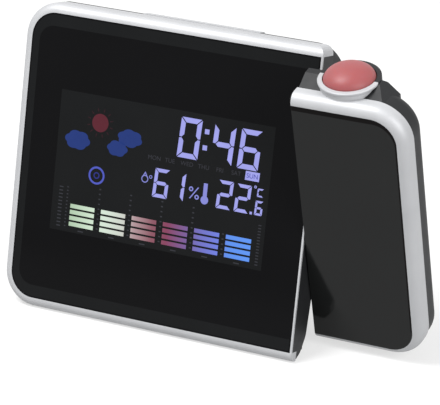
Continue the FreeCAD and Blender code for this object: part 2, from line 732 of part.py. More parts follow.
# Batteries, their contacts and the door.
cell_deep = BAY_FLOOR + 6.2
cell_left = BAY_LEFT + 3.2
cells = []
for number in range(3):
    up = 16.4 + number * float(D["cell_pitch"])
    turn = ALONG_X if number % 2 == 0 else Rotation(Vector(0, 1, 0), -90)
    start = cell_left if number % 2 == 0 else cell_left + float(D["cell_long"])
    cells.append(
        turned(
            f"cell{number + 1}",
            [(0, 0), (D["cell_radius"], 0), (D["cell_radius"], D["cell_long"] - 1.0), (1.9, D["cell_long"] - 1.0),
             (1.9, D["cell_long"]), (0, D["cell_long"])],
            (start, cell_deep, up), turn,
        )
    )
many("batteries", BODY_FRAME, cells)
for name, low, high in (
    ("left_battery_contacts", BAY_LEFT, BAY_LEFT + 0.5),
    ("right_battery_contacts", BAY_RIGHT - 0.5, BAY_RIGHT),
):
    plates = []
    for number in range(3):
        up = 16.4 + number * float(D["cell_pitch"])
        inner = high if name.startswith("left") else low
        reach = cell_left - high if name.startswith("left") else low - cell_left - float(D["cell_long"])
        base = plate(f"{name}{number}", (low, BAY_FLOOR + 1.4, up - 4.4), 0.5, 8.8, 9.6)
        bump_start = inner if name.startswith("left") else inner - reach
        bump = rod(f"{name}_bump{number}", 1.6, (bump_start, cell_deep, up), reach, "X")
        plates.append(fuse(f"{name}_leaf{number}", base, bump))
    many(name, BODY_FRAME, plates)

door_blank = plate(
    "door_blank", (BAY_LEFT - 1.6, HUMP_BACK - DOOR_THICK, BAY_LOW - 1.6),
    BAY_RIGHT - BAY_LEFT + 3.2, BAY_HIGH - BAY_LOW + 3.2, DOOR_THICK, (1, 1, 1, 1),
)
door_grip = [
    block(f"door_grip{number}", (36.0, HUMP_BACK - 0.5, 38.0 + number * 2), (48.0, HUMP_BACK + 1, 38.8 + number * 2))
    for number in range(3)
]
sub_part("battery_door", cut("battery_door", door_blank, *door_grip), BODY_FRAME)

# Power socket, sounder and the air sensor behind the vents.
jack_body = rod("jack_body", 3.6, (D["hump_right"] - 8.6, JACK_DEEP, JACK_UP), 8.6, "X")
jack_bore = rod("jack_bore", 2.75, (D["hump_right"] - 7.4, JACK_DEEP, JACK_UP), 12, "X")
sub_part("power_socket", cut("power_socket", jack_body, jack_bore), BODY_FRAME)
jack_pin = turned(
    "jack_pin", [(0, 0), (0.65, 0), (0.65, 5.8), (0.35, 6.2), (0, 6.2)],
    (D["hump_right"] - 7.4, JACK_DEEP, JACK_UP), ALONG_X,
)
sub_part("power_socket_pin", jack_pin, BODY_FRAME)
sounder = turned(
    "sounder_disc", [(0, 0), (6.4, 0), (6.4, 2.6), (5.6, 2.6), (5.6, 3.4), (0, 3.4)],
    (77.0, HUMP_BACK - 5.4, 30.0), ALONG_Y,
)
sub_part("buzzer", sounder, BODY_FRAME)
sensor_board = plate("sensor_board_sheet", (92.6, board_back, 62.0), 6.6, 12.0, 1.0)
sub_part("air_sensor", sensor_board, BODY_FRAME)

# Hinge: bush in the main body, hollow shaft on the arm, spring washer and clip.
ARM_LEFT = BODY_RIGHT + D["arm_gap"]
bush_bore = D["shaft_radius"] + D["shaft_fit"]
bush = turned(
    "bush_tube", [(bush_bore, 0), (BUSH_RADIUS, 0), (BUSH_RADIUS, BODY_RIGHT - 104.6), (bush_bore, BODY_RIGHT - 104.6)],
    (104.6, D["hinge_deep"], D["hinge_up"]), ALONG_X,
)
sub_part("hinge_bush", bush, BODY_FRAME)
washer = turned(
    "washer_ring", [(3.4, 0), (4.7, 0), (4.7, 0.5), (3.4, 0.5)], (104.1, D["hinge_deep"], D["hinge_up"]), ALONG_X
)
sub_part("spring_washer", washer, BODY_FRAME)

SHAFT_START = 102.0
shaft_length = ARM_LEFT + 4.0 - SHAFT_START
flange_start = ARM_LEFT + 2.0 - SHAFT_START
shaft = turned(
    "shaft_tube",
    [(D["shaft_bore"], 0), (D["shaft_radius"], 0), (D["shaft_radius"], flange_start), (5.2, flange_start),
     (5.2, shaft_length), (D["shaft_bore"], shaft_length)],
    (SHAFT_START, D["hinge_deep"], 0), ALONG_X,
)
sub_part("hinge_shaft", shaft, ARM_FRAME)
clip = turned(
    "clip_ring", [(D["shaft_radius"], 0), (4.7, 0), (4.7, 0.8), (D["shaft_radius"], 0.8)],
    (102.6, D["hinge_deep"], 0), ALONG_X,
)
sub_part("shaft_clip", clip, ARM_FRAME)
lead = rod("lead_wire", 1.1, (102.1, D["hinge_deep"], 0), ARM_LEFT + 9.0 - 102.1, "X")
sub_part("projector_lead", fillet("lead_round", lead, (lambda e: e.BoundBox.XLength < 0.1, 0.4)), ARM_FRAME)

# Arm lens and arm rim.
ARM_LENS_RIGHT = ARM_LEFT + D["arm_lens_width"]
ARM_RIGHT = ARM_LENS_RIGHT + D["arm_rim"]
ARM_TOP = D["arm_lens_top"] + D["arm_rim"]
ARM_LOW = (D["arm_lens_drop"] + D["arm_rim_low"]) * -1
arm_lens_tall = D["arm_lens_top"] + D["arm_lens_drop"]
arm_lens_corners = (None, D["lens_corner"], D["lens_corner"], None)
arm_lens = plate(
    "arm_lens_sheet", (ARM_LEFT, 0, D["arm_lens_drop"] * -1), D["arm_lens_width"], arm_lens_tall,
    D["lens_thick"], arm_lens_corners,
)
sub_part("arm_lens", arm_lens, ARM_FRAME)

TUBE_X = ARM_LEFT + D["tube_right"]
collar_neck = D["collar_radius"] - 0.6
collar_tall = D["collar_top"] - 46.0
collar_blank = turned(
    "collar_blank",
    [(0, 0), (collar_neck, 0), (collar_neck, collar_tall - 1.4), (D["collar_radius"], collar_tall - 0.8),
     (D["collar_radius"], collar_tall - 0.3), (D["collar_radius"] - 0.3, collar_tall), (0, collar_tall)],
    (TUBE_X, D["tube_deep"], 46.0),
)
collar_space = rod("collar_space", D["collar_bore"], (TUBE_X, D["tube_deep"], 30.0), 60)

# The joint between arm rim and arm shell runs up the face, then slants back over the collar.
split_deep = D["arm_parting"] + 20
silver_half = prism(
    "silver_half", (100, -20, -60),
    [(0, 114.9), (split_deep, 114.9), (split_deep, 118.3), (32, 121.4), (32, 140), (0, 140)], 60,
)
black_half = prism(
    "black_half", (100, -20, -60),
    [(split_deep, 0), (80, 0), (80, 140), (32, 140), (32, 121.4), (split_deep, 118.3)], 60,
)


def make_arm_rim():
    outer = D["lens_corner"] + D["arm_rim"]
    blank = plate(
        "arm_rim_blank", (ARM_LEFT, 0, ARM_LOW), ARM_RIGHT - ARM_LEFT, ARM_TOP - ARM_LOW, D["arm_parting"],
        (None, outer, outer, None),
    )
    left = float(ARM_LEFT)
    low = float(ARM_LOW)
    rounded = fillet(
        "arm_rim_rounded", blank,
        (lambda e: e.BoundBox.YMax < 0.01 and e.BoundBox.XMax > left + 0.1
         and not (along(e, X_AXIS) and e.CenterOfMass.z < low + 1), D["arm_round"]),
    )
    collar = common("collar_front", collar_blank, silver_half)
    whole = fuse("arm_rim_whole", rounded, collar)
    seat = plate(
        "arm_rim_seat", (ARM_LEFT - 2, -2, D["arm_lens_drop"] * -1), D["arm_lens_width"] + 2, arm_lens_tall,
        D["lens_thick"] + 2, arm_lens_corners,
    )
    inner = D["lens_corner"] - D["ledge"]
    opening = plate(
        "arm_rim_opening", (ARM_LEFT - 2, -2, (D["arm_lens_drop"] - D["ledge"]) * -1),
        D["arm_lens_width"], arm_lens_tall - D["ledge"] * 2, 14, (None, inner, inner, None),
    )
    return cut("arm_rim_shaped", whole, seat, opening, collar_space)


arm_rim = make_arm_rim()
ARM_SCREWS = [(119.0, -31.0), (141.0, -31.0), (143.5, 25.0)]
arm_bosses = []
for number, (right, up) in enumerate(ARM_SCREWS, 1):
    arm_bosses.append(rod(f"arm_boss{number}", BOSS_RADIUS, (right, 1.5, up), D["arm_parting"] - 1.5, "Y"))
arm_bosses.append(block("arm_web1", (118.0, 1.5, -38.0), (120.0, 3.0, -31.0)))
arm_bosses.append(block("arm_web2", (140.0, 1.5, -38.0), (142.0, 3.0, -31.0)))
arm_bosses.append(block("arm_web3", (143.5, 1.5, 24.0), (150.0, 3.0, 26.0)))
arm_rim_whole = fuse("arm_rim_bossed", arm_rim, *arm_bosses)
arm_pilots = [
    rod(f"arm_pilot{number}", D["screw_radius"], (right, 2.2, up), 20, "Y")
    for number, (right, up) in enumerate(ARM_SCREWS, 1)
]
sub_part("arm_rim", cut("arm_rim", arm_rim_whole, *arm_pilots), ARM_FRAME)


# Arm rear shell, with the projector housing behind the collar.
def make_arm_shell():
    step = D["case_step"]
    outer = D["lens_corner"] + D["arm_rim"] - step
    blank = plate(
        "shell_blank", (ARM_LEFT, D["arm_parting"], ARM_LOW + step),
        ARM_RIGHT - step - ARM_LEFT, ARM_TOP - ARM_LOW - step * 2, D["arm_depth"] - D["arm_parting"],
        (None, outer, outer, None),
    )
    deep = float(D["arm_depth"])
    left = float(ARM_LEFT)
    rounded = fillet(
        "shell_rounded", blank,
        (lambda e: e.BoundBox.YMin > deep - 0.01 and e.BoundBox.XMax > left + 0.1, 5.0),
    )
    housing = turned(
        "shell_housing",
        [(0, 0), (8.3, 0), (D["collar_radius"], 6), (D["collar_radius"], D["collar_top"] - 19), (0, D["collar_top"] - 19)],
        (TUBE_X, D["tube_deep"], 19.0),
    )
    housing_back = common("shell_housing_back", housing, black_half)
    cheek = block(
        "shell_cheek", (ARM_LEFT, D["lens_thick"], D["arm_lens_drop"] * -1 + 2.1),
        (ARM_LEFT + D["wall"], 8.0, D["arm_lens_top"] - 2.1),
    )
    shoulder = prism(
        "shell_shoulder", (ARM_LEFT + 0.5, 0, 0),
        [(D["arm_parting"], 50), (15.2, 50), (15.2, 60), (14.2, 61), (11.4, 61), (D["arm_parting"], 58.2)], 32,
    )
    slope = doc.addObject("Part::Box", "shoulder_slope")
    slope.Length, slope.Width, slope.Height = 25, 40, 10
    slope.Placement = Placement(Vector(138.4, 0, 61), Rotation(Vector(0, 1, 0), 42)).multiply(
        Placement(Vector(-3, 0, 0), Rotation())
    )
    shoulder_cut = cut("shell_shoulder_sloped", shoulder, slope)
    hull = fuse("shell_hull", rounded, housing_back, cheek, shoulder_cut)
    wall = D["wall"]
    hollow = plate(
        "shell_hollow", (ARM_LEFT + wall, 0, ARM_LOW + step + wall),
        ARM_RIGHT - step - ARM_LEFT - wall * 2, ARM_TOP - ARM_LOW - step * 2 - wall * 2, D["arm_depth"] - wall,
        (None, outer - wall, outer - wall, None),
    )
    hollow_deep = float(D["arm_depth"]) - 2.0
    hollow_round = fillet(
        "shell_hollow_round", hollow,
        (lambda e: e.BoundBox.YMin > hollow_deep - 0.01 and e.BoundBox.XMax > left + 3.5
         and not along(e, Z_AXIS) or (along(e, Z_AXIS) and e.BoundBox.YMin > hollow_deep - 0.01
         and e.BoundBox.XMax > left + 20), 3.4),
    )
    bore = rod("shell_bore", D["housing_bore"], (TUBE_X, D["tube_deep"], 25.4), 31.6)
    return cut("shell_walls", hull, hollow_round, bore, collar_space)


arm_walls = make_arm_shell()
shell_posts = [
    rod(f"shell_post{number}", BOSS_RADIUS + 0.6, (right, D["arm_parting"], up), D["arm_depth"] - D["arm_parting"] - 0.6, "Y")
    for number, (right, up) in enumerate(ARM_SCREWS, 1)
]
arm_filled = fuse("shell_filled", arm_walls, *shell_posts)
shaft_hole = rod("shaft_hole", D["shaft_radius"], (105, D["hinge_deep"], 0), 12, "X")
BARREL_DEEP = D["tube_deep"] + D["barrel_deeper"]
wheel_slot = rod(
    "wheel_slot", D["wheel_radius"] + 0.6, (TUBE_X, BARREL_DEEP, D["wheel_up"] - 0.5), D["wheel_thick"] + 1.0
)
arm_sinks = []
for number, (right, up) in enumerate(ARM_SCREWS, 1):
    arm_sinks.append(rod(f"shell_screw_hole{number}", D["screw_radius"], (right, 0, up), 40, "Y"))
    arm_sinks.append(rod(f"shell_sink{number}", D["screw_head"] + 0.2, (right, D["arm_depth"] - 2.2, up), 10, "Y"))
sub_part("arm_rear_shell", cut("arm_rear_shell", arm_filled, shaft_hole, wheel_slot, *arm_sinks), ARM_FRAME)

many(
    "arm_screws", ARM_FRAME,
    [
        turned(
            f"arm_screw{number}",
            [(0, 0), (D["screw_head"], 0), (D["screw_head"], 1.2), (D["screw_head"] - 0.8, 1.8), (0, 1.8)],
            (right, D["arm_depth"] - 2.2, up), ALONG_Y,
        )
        for number, (right, up) in enumerate(ARM_SCREWS, 1)
    ]
    + [
        rod(f"arm_screw_shank{number}", D["screw_radius"], (right, 2.4, up), D["arm_depth"] - 2.2 - 2.4, "Y")
        for number, (right, up) in enumerate(ARM_SCREWS, 1)
    ],
)

# Projector: red window, focus barrel with its lens, focus wheel, picture glass, lamp.
window_low = D["collar_top"] - 2.4
window_turns = [math.radians(angle) for angle in (90, 75, 60, 43, 27, 13)]
window_crown = [
    (D["window_radius"] * round(math.sin(turn), 4), D["window_rise"] * round(math.cos(turn), 4) + 1.6)
    for turn in window_turns
]
window = turned(
    "window_dome",
    [(0, 0), (D["collar_bore"], 0), (D["collar_bore"], 1.2)] + window_crown + [(0, D["window_rise"] + 1.6)],
    (TUBE_X, D["tube_deep"], window_low),
)
sub_part("projector_window", window, ARM_FRAME)

wheel_blank = turned(
    "wheel_blank",
    [(D["barrel_radius"] + 0.4, 0), (D["wheel_radius"] - 0.5, 0), (D["wheel_radius"], 0.5),
     (D["wheel_radius"], D["wheel_thick"] - 0.5), (D["wheel_radius"] - 0.5, D["wheel_thick"]),
     (D["barrel_radius"] + 0.4, D["wheel_thick"])],
    (TUBE_X, BARREL_DEEP, D["wheel_up"]),
)


# Grip grooves round the focus wheel.
def make_wheel_grooves():
    grooves = []
    for number in range(24):
        turn = math.radians(15 * number)
        reach = float(D["wheel_radius"]) + 0.3
        groove = rod(
            f"wheel_groove{number}", 0.75,
            (TUBE_X + reach * math.cos(turn), BARREL_DEEP + reach * math.sin(turn), D["wheel_up"] - 1), 8,
        )
        grooves.append(groove)
    item = doc.addObject("Part::Compound", "wheel_grooves")
    item.Links = grooves
    return item


wheel = cut("focus_wheel", wheel_blank, make_wheel_grooves())
sub_part("focus_wheel", wheel, ARM_FRAME)

barrel = turned(
    "barrel_tube",
    [(3.6, 0), (D["barrel_radius"], 0), (D["barrel_radius"], 17), (3.6, 17), (3.6, 14), (2.8, 14), (2.8, 12.6), (3.6, 12.6)],
    (TUBE_X, BARREL_DEEP, 38.0),
)
sub_part("focus_barrel", barrel, ARM_FRAME)
barrel_lens = turned(
    "barrel_lens_glass",
    [(0, 0), (3.6, 0), (3.6, 1.0), (2.6, 1.7), (1.3, 2.1), (0, 2.2)], (TUBE_X, BARREL_DEEP, 52.0),
)
sub_part("focus_lens", barrel_lens, ARM_FRAME)

carrier = turned(
    "carrier_cup",
    [(5.0, 0), (6.3, 0), (6.3, 14.6), (5.0, 14.6)], (TUBE_X, BARREL_DEEP, 27.0),
)
sub_part("projector_carrier", carrier, ARM_FRAME)
picture = plate("picture_glass", (TUBE_X - 3.4, BARREL_DEEP - 3.4, 34.0), 6.8, 1.4, 6.8)
sub_part("projector_lcd", picture, ARM_FRAME)
lamp = turned(
    "lamp_body", [(0, 0), (2.9, 0), (2.9, 1.0), (2.5, 1.0), (2.5, 3.4), (1.6, 4.6), (0, 5.0)],
    (TUBE_X, BARREL_DEEP, 27.0),
)
sub_part("projector_lamp", lamp, ARM_FRAME)
lamp_board = turned("lamp_board_disc", [(0, 0), (6.2, 0), (6.2, 1.4), (0, 1.4)], (TUBE_X, BARREL_DEEP, 25.6))
sub_part("projector_board", lamp_board, ARM_FRAME)


def check_and_write():
    """Stop on any failed object or shape, then write each piece."""
    doc.recompute()
    for item in doc.Objects:
        if "Invalid" in item.State or "Error" in item.State:
            raise RuntimeError(f"{item.Name} failed: {item.State}")
    os.makedirs("parts", exist_ok=True)
    for node, item in SUB_PARTS:
        shape = item.Shape
        if shape.isNull() or not shape.isValid() or not shape.Solids:
            raise RuntimeError(f"{node} has no valid solid")
        if len(shape.Solids) > 1:
            print(f"{node}: {len(shape.Solids)} solids")
    for node, item in SUB_PARTS:
        item.Shape.exportStep(f"parts/{node}.step")
    print(len(SUB_PARTS), "pieces written")


check_and_write()
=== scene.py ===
import math
import bmesh
import bpy
from mathutils import Matrix, Vector


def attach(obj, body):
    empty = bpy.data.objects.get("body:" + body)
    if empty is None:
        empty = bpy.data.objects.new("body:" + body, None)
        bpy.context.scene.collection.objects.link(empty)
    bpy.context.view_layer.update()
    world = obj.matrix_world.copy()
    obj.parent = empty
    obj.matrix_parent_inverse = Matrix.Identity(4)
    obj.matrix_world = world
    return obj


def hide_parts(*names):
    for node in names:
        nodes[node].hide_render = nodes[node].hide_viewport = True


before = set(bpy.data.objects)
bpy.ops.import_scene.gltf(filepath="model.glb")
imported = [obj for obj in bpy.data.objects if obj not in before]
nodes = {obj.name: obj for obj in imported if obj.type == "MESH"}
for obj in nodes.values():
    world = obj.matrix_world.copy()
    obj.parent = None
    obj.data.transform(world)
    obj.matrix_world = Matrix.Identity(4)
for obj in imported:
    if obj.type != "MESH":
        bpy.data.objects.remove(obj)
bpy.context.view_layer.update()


# The black ABS mouldings: rear case, arm shell, battery door and focus wheel.
# Injection moulded in spark-eroded tools, so they are matt with a fine leathery
# grain and a weak, wide sheen.
def paint(code):
    """An sRGB hex colour as linear light."""
    parts = [int(code[at:at + 2], 16) / 255 for at in (1, 3, 5)]
    return tuple(p / 12.92 if p <= 0.04045 else ((p + 0.055) / 1.055) ** 2.4 for p in parts) + (1.0,)


def add_node(tree, kind, settings, links=()):
    """Add a shader node, with its settings and what feeds its sockets."""
    node = tree.nodes.new(kind)
    for name, value in settings.items():
        if isinstance(name, int) or name in node.inputs:
            node.inputs[name].default_value = value
        else:
            setattr(node, name, value)
    for name, source in dict(links).items():
        tree.links.new(source, node.inputs[name])
    return node


def new_finish(name, settings):
    """A material with its main shader set, its node tree and its Object coordinates."""
    finish = bpy.data.materials.new(name)
    finish.use_nodes = True
    tree = finish.node_tree
    shader = tree.nodes["Principled BSDF"]
    for socket, value in settings.items():
        shader.inputs[socket].default_value = value
    where = add_node(tree, "ShaderNodeTexCoord", {}).outputs["Object"]
    return finish, tree, shader, where


def mottle(tree, shader, where, per_metre, dark, light):
    """Cloudy colour between two close tones."""
    clouds = add_node(tree, "ShaderNodeTexNoise", {"Scale": per_metre, "Detail": 3.0}, {"Vector": where})
    blend = add_node(
        tree, "ShaderNodeMix", {"data_type": "RGBA", 6: paint(dark), 7: paint(light)},
        {0: clouds.outputs["Fac"]},
    )
    tree.links.new(blend.outputs[2], shader.inputs["Base Color"])


def roughen(tree, shader, where, per_metre, low, high):
    """Roughness that drifts between two values."""
    drift = add_node(tree, "ShaderNodeTexNoise", {"Scale": per_metre, "Detail": 4.0}, {"Vector": where})
    span = add_node(
        tree, "ShaderNodeMapRange", {"To Min": low, "To Max": high}, {"Value": drift.outputs["Fac"]}
    )
    tree.links.new(span.outputs["Result"], shader.inputs["Roughness"])


def grain(tree, shader, where, per_metre, height):
    """Fine bumps, a given height in metres."""
    bumps = add_node(tree, "ShaderNodeTexNoise", {"Scale": per_metre, "Detail": 2.0}, {"Vector": where})
    lift = add_node(
        tree, "ShaderNodeBump", {"Strength": 0.6, "Distance": height}, {"Height": bumps.outputs["Fac"]}
    )
    tree.links.new(lift.outputs["Normal"], shader.inputs["Normal"])


def dress(finish, *names):
    """Give CAD nodes a material."""
    for name in names:
        for slot in nodes[name].material_slots:
            slot.material = finish


# Grain about 0.5 mm across, 0.03 mm deep.
textured_abs, tree, shader, where = new_finish("spark_grained_abs", {"IOR": 1.46, "Specular IOR Level": 0.36})
mottle(tree, shader, where, 140, "#131416", "#1b1c1e")
roughen(tree, shader, where, 260, 0.46, 0.6)
grain(tree, shader, where, 2000, 0.00003)
dress(textured_abs, "rear_case", "arm_rear_shell", "battery_door", "focus_wheel")


# Silver rims and snooze bar: ABS sprayed with an aluminium-flake lacquer.
# The flakes lie flat, so the silver is soft and bright with no sharp mirror. They are
# about 0.03 mm across, too fine to show, so the grain is drawn about 0.4 mm across.
silver, tree, shader, where = new_finish(
    "aluminium_flake_lacquer", {"Metallic": 0.2, "IOR": 1.5, "Specular IOR Level": 0.35}
)
mottle(tree, shader, where, 90, "#b3b4b7", "#c0c1c3")
roughen(tree, shader, where, 400, 0.44, 0.54)
grain(tree, shader, where, 2600, 0.000022)
dress(silver, "front_rim", "arm_rim", "snooze_bar")


# The two lenses: smoked acrylic sheet with a polished face, cut and let into the rims.
# The main one is printed black on its back and shows next to no reflection under even
# light. The arm's one catches a little more, so it reads as a dark grey.
smoked, tree, shader, where = new_finish("smoked_acrylic", {"IOR": 1.49, "Specular IOR Level": 0.06})
mottle(tree, shader, where, 25, "#0b0b0c", "#0e0e10")
roughen(tree, shader, where, 60, 0.05, 0.09)
dress(smoked, "front_lens")
arm_acrylic, tree, shader, where = new_finish("arm_acrylic", {"IOR": 1.49, "Specular IOR Level": 0.16})
mottle(tree, shader, where, 25, "#191a1a", "#1e1f1f")
roughen(tree, shader, where, 60, 0.07, 0.11)
dress(arm_acrylic, "arm_lens")


# Display window: the liquid-crystal glass seen through the smoked lens, clamped behind it.
# It is a shade paler than the printed black round it, with square corners. Like every
# print and lit film here it is a thin layer laid on the face it is seen through.
FACE_CORNER = (-0.0743, -0.020863, 0.00409)
FACE_LEAN = math.radians(-12.5)
FACE = Matrix.Translation(FACE_CORNER) @ Matrix.Rotation(FACE_LEAN, 4, "X")
LAYER_THICK = 0.00002
PRINT_PROUD = 0.01


def lay_on_face(name, outlines, proud, finish, face=FACE, body="root"):
    """Thin flat shapes, given in mm right and up the face, this many mm in front of the lens."""
    mesh = bmesh.new()
    for outline in outlines:
        mesh.faces.new([mesh.verts.new((right / 1000, -proud / 1000, up / 1000)) for right, up in outline])
    raised = bmesh.ops.extrude_face_region(mesh, geom=mesh.faces[:])
    fronts = [item for item in raised["geom"] if isinstance(item, bmesh.types.BMVert)]
    bmesh.ops.translate(mesh, verts=fronts, vec=(0, -LAYER_THICK, 0))
    bmesh.ops.transform(mesh, matrix=face, verts=mesh.verts[:])
    bmesh.ops.recalc_face_normals(mesh, faces=mesh.faces[:])
    return finish_piece(name, mesh, finish, body)


def finish_piece(name, mesh, finish, body):
    """Turn built geometry into a piece that rides on a body."""
    data = bpy.data.meshes.new(name)
    mesh.to_mesh(data)
    mesh.free()
    data.materials.append(finish)
    piece = bpy.data.objects.new(name, data)
    bpy.context.scene.collection.objects.link(piece)
    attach(piece, body)
    return piece


window_glass, tree, shader, where = new_finish("display_window", {"IOR": 1.49, "Specular IOR Level": 0.06})
mottle(tree, shader, where, 60, "#151617", "#1a1b1c")
roughen(tree, shader, where, 60, 0.05, 0.1)
window_outline = [(13.7, 25.9), (96.3, 25.9), (96.3, 75.3), (13.7, 75.3)]
lay_on_face("display_window", [window_outline], PRINT_PROUD, window_glass)


# Lens edge: a painted reflection of the main lens's bevelled edge, a band a shade greyer than the lens.
# It runs along the bottom, the left and the top, half a millimetre in from the rim, so the lens's own black
# shows there as a painted shadow line in the gap, and is four millimetres wide. It is flat and even.
def corner_arc(right, up, radius, start, count=9):
    """Points of a quarter circle from a start angle in quarter turns, clockwise."""
    turns = [math.pi / 2 * (start - step / (count - 1)) for step in range(count)]
    return [(right + radius * math.cos(turn), up + radius * math.sin(turn)) for turn in turns]


def band(outer, inner):
    """Quads between two lines of as many points."""
    return [[outer[at], outer[at + 1], inner[at + 1], inner[at]] for at in range(len(outer) - 1)]


# The band's colour is a painted reflection of the lens edge, not a print on the lens.
painted_lens_edge_reflection, tree, shader, where = new_finish("lens_edge_reflection_paint", {"IOR": 1.49, "Specular IOR Level": 0.06})
mottle(tree, shader, where, 60, "#151617", "#1a1b1c")
roughen(tree, shader, where, 60, 0.05, 0.1)
BORDER_RIGHT = 109.5
outer_line = (
    [(BORDER_RIGHT, 0.6)] + corner_arc(9.0, 9.0, 8.4, 3) + corner_arc(9.0, 92.2, 8.4, 2)
    + [(BORDER_RIGHT, 100.6)]
)
inner_line = (
    [(BORDER_RIGHT, 4.6)] + corner_arc(8.5, 10.0, 5.4, 3) + corner_arc(8.5, 91.2, 5.4, 2)
    + [(BORDER_RIGHT, 96.6)]
)
lay_on_face("lens_edge_reflection_band", band(outer_line, inner_line), PRINT_PROUD, painted_lens_edge_reflection)


# Lit segments: clear openings in the display's dark field, lit from behind.
# Time, humidity and temperature glow periwinkle through the diffuser, whose light
# is a little uneven from place to place.
LIT_PROUD = 0.04


def lit_finish(name, colour):
    """A backlit film in one colour, a little uneven like a real diffuser."""
    finish, tree, shader, where = new_finish(
        name, {"Base Color": paint("#0c0c10"), "Roughness": 0.08, "Specular IOR Level": 0.06,
               "Emission Strength": 1.0}
    )
    cloud = add_node(tree, "ShaderNodeTexNoise", {"Scale": 180.0, "Detail": 2.0}, {"Vector": where})
    deep = tuple(part * 0.82 for part in paint(colour)[:3]) + (1.0,)
    blend = add_node(
        tree, "ShaderNodeMix", {"data_type": "RGBA", 6: deep, 7: paint(colour)}, {0: cloud.outputs["Fac"]}
    )
    tree.links.new(blend.outputs[2], shader.inputs["Emission Color"])
    return finish


SEGMENTS = {"0": "abcdef", "1": "bc", "2": "abged", "4": "fgbc", "6": "afgedc", "C": "afed"}


def digit(mark, left, low, width, height, stroke):
    """Outlines of a seven-segment mark with mitred strokes that lean a little, in mm on the face."""
    lean = 0.05
    half = stroke / 2
    gap = stroke * 0.14
    middle = height / 2
    bar_start = half + gap
    bar_end = width - half - gap
    strokes = {
        "a": [(gap, height), (stroke + gap, height - stroke), (width - stroke - gap, height - stroke),
              (width - gap, height)],
        "d": [(gap, 0), (width - gap, 0), (width - stroke - gap, stroke), (stroke + gap, stroke)],
        "g": [(bar_start, middle), (bar_start + half, middle - half), (bar_end - half, middle - half),
              (bar_end, middle), (bar_end - half, middle + half), (bar_start + half, middle + half)],
        "f": [(0, height - gap), (0, middle + gap), (half, middle + gap * 0.5),
              (stroke, middle + half + gap), (stroke, height - stroke - gap)],
        "e": [(0, gap), (stroke, stroke + gap), (stroke, middle - half - gap),
              (half, middle - gap * 0.5), (0, middle - gap)],
        "b": [(width, height - gap), (width - stroke, height - stroke - gap),
              (width - stroke, middle + half + gap), (width - half, middle + gap * 0.5),
              (width, middle + gap)],
        "c": [(width, gap), (width, middle - gap), (width - half, middle - gap * 0.5),
              (width - stroke, middle - half - gap), (width - stroke, stroke + gap)],
    }
    return [
        [(left + across + up * lean, low + up) for across, up in strokes[letter]]
        for letter in SEGMENTS[mark]
    ]


def square(right, up, wide, tall=None):
    """Outline of a small rectangle about its middle, a square if only one size is given."""
    tall = tall or wide
    return [(right - wide / 2, up - tall / 2), (right + wide / 2, up - tall / 2),
            (right + wide / 2, up + tall / 2), (right - wide / 2, up + tall / 2)]


def disc(right, up, radius):
    """Outline of a round dot."""
    turns = [2 * math.pi * n / 40 for n in range(40)]
    return [(right + radius * math.cos(turn), up + radius * math.sin(turn)) for turn in turns]


def ring(right, up, outer, inner, count=40):
    """Outlines of the short quads that make a ring."""
    turns = [2 * math.pi * n / count for n in range(count + 1)]
    return [
        [(right + r * math.cos(t), up + r * math.sin(t)) for r, t in
         ((inner, a), (outer, a), (outer, b), (inner, b))]
        for a, b in zip(turns, turns[1:])
    ]


periwinkle = lit_finish("backlit_periwinkle", "#a9abf5")
TIME_LOW = 59.3
TIME_STROKE = 1.75
time_marks = (
    digit("0", 60.3, TIME_LOW, 8.0, 14.0, TIME_STROKE)
    + digit("4", 73.2, TIME_LOW, 8.0, 13.6, TIME_STROKE)
    + digit("6", 83.3, TIME_LOW, 7.9, 13.7, TIME_STROKE)
    + [square(71.0, 69.6, 1.7), square(70.7, 64.0, 1.7)]
)
lay_on_face("time_digits", time_marks, LIT_PROUD, periwinkle)
reading_marks = (
    digit("6", 52.4, 44.0, 5.7, 10.1, 1.25)
    + digit("1", 58.4, 44.2, 5.9, 9.9, 1.25)
    + digit("2", 76.9, 44.4, 5.6, 9.8, 1.2)
    + digit("2", 83.8, 44.4, 5.5, 9.7, 1.2)
    + [square(90.3, 44.9, 0.9)]
    + digit("6", 91.5, 44.5, 2.9, 5.0, 0.75)
    + digit("C", 91.9, 50.8, 2.3, 2.9, 0.55)
    + ring(91.1, 54.0, 0.5, 0.22, 16)
)
lay_on_face("reading_digits", reading_marks, LIT_PROUD, periwinkle)


# Signs beside the readings: percent sign, water drops and thermometer, and the lit field of
# the weekday. They are openings in the same dark field, a little dimmer than the digits.
percent = (
    ring(67.1, 49.2, 0.85, 0.4, 20) + ring(69.5, 46.7, 0.85, 0.4, 20)
    + [[(66.6, 45.9), (67.1, 45.9), (70.1, 50.1), (69.6, 50.1)]]
)
drops = ring(49.1, 49.6, 1.35, 1.0, 24) + [
    [(47.95, 50.2), (48.25, 50.0), (49.1, 51.5), (49.1, 52.2)],
    [(50.25, 50.2), (49.1, 52.2), (49.1, 51.5), (49.95, 50.0)],
] + ring(51.3, 50.6, 0.62, 0.35, 16)
thermometer = [disc(72.5, 46.2, 1.45), [(71.75, 47.4), (73.25, 47.4), (73.25, 52.0), (71.75, 52.0)]]
signs = percent + drops + thermometer
lay_on_face("reading_signs", signs, LIT_PROUD, lit_finish("backlit_signs", "#8f93e2"))
weekday_field = [(86.8, 55.8), (92.1, 55.8), (92.25, 58.9), (86.95, 58.9)]
lay_on_face("weekday_lit", [weekday_field], LIT_PROUD, periwinkle)


# Weekday letters: tiny plain capitals printed on the display glass.
# All are unlit grey but the last, which stands dark on its lit field.
LETTER_PROUD = 0.07
CAPITAL_SHARE = 0.7


